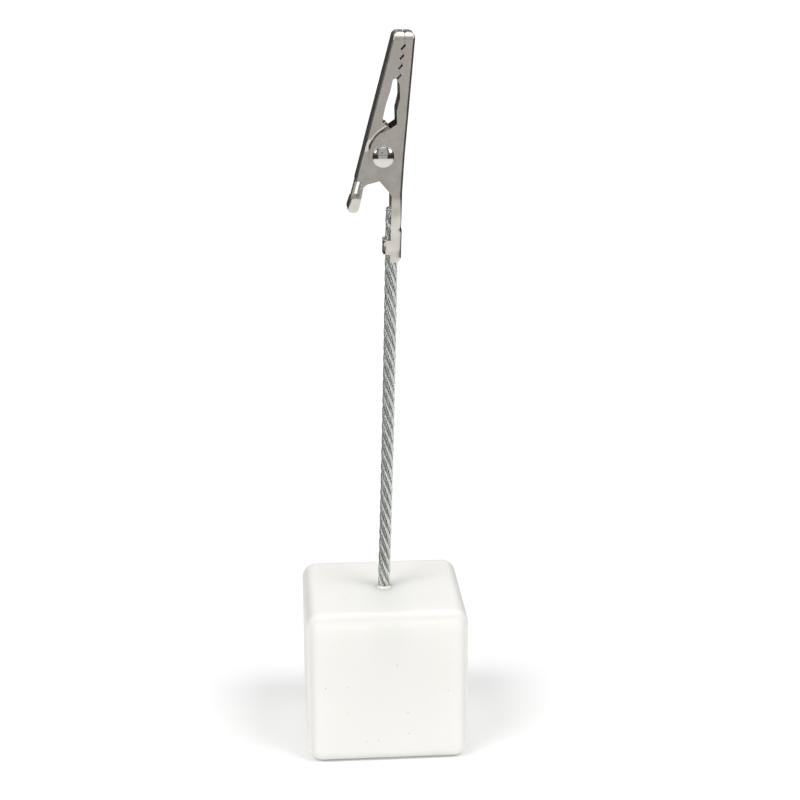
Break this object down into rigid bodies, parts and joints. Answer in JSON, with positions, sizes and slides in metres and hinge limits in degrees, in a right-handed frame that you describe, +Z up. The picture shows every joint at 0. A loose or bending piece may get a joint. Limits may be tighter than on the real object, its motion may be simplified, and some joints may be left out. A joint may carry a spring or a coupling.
{
  "type": "table number holder",
  "caption": "Frosted cube base with a short wire rope stem and a spring-loaded alligator clip that grips a table card.",
  "frame": {"origin": "centre of the block's underside", "axes": "+Z up along the stem, Y along the clip's hinge axis, and the clip's lever points towards -X"},
  "size_m": [0.032, 0.032, 0.143],
  "materials": {
    "frosted_resin": "frosted, slightly translucent cast resin",
    "adhesive": "cured clear adhesive",
    "rope_wire": "bright drawn wire",
    "nickel_sheet": "nickel-plated pressed sheet steel",
    "rivet_nickel": "polished nickel plate",
    "spring_steel": "drawn spring wire"
  },
  "bodies": {
    "stand": {"base_block": "frosted_resin", "bond_adhesive": "adhesive", "rope_core": "rope_wire", "rope_strand_1": "rope_wire", "rope_strand_2": "rope_wire", "rope_strand_3": "rope_wire", "rope_strand_4": "rope_wire", "rope_strand_5": "rope_wire", "rope_strand_6": "rope_wire", "fixed_jaw": "nickel_sheet", "pivot_rivet": "rivet_nickel", "torsion_spring": "spring_steel"},
    "moving_jaw": {"moving_jaw": "nickel_sheet"}
  },
  "joints": [
    {"name": "jaw_hinge", "type": "hinge", "parent": "stand", "child": "moving_jaw", "pos_m": [0.00047, 0, 0.11981], "axis": [0, -1, 0], "range_deg": [0, 30], "stiffness_Nm_per_rad": 0.046, "springref_deg": -34.38, "deforming": ["torsion_spring"]}
  ]
}
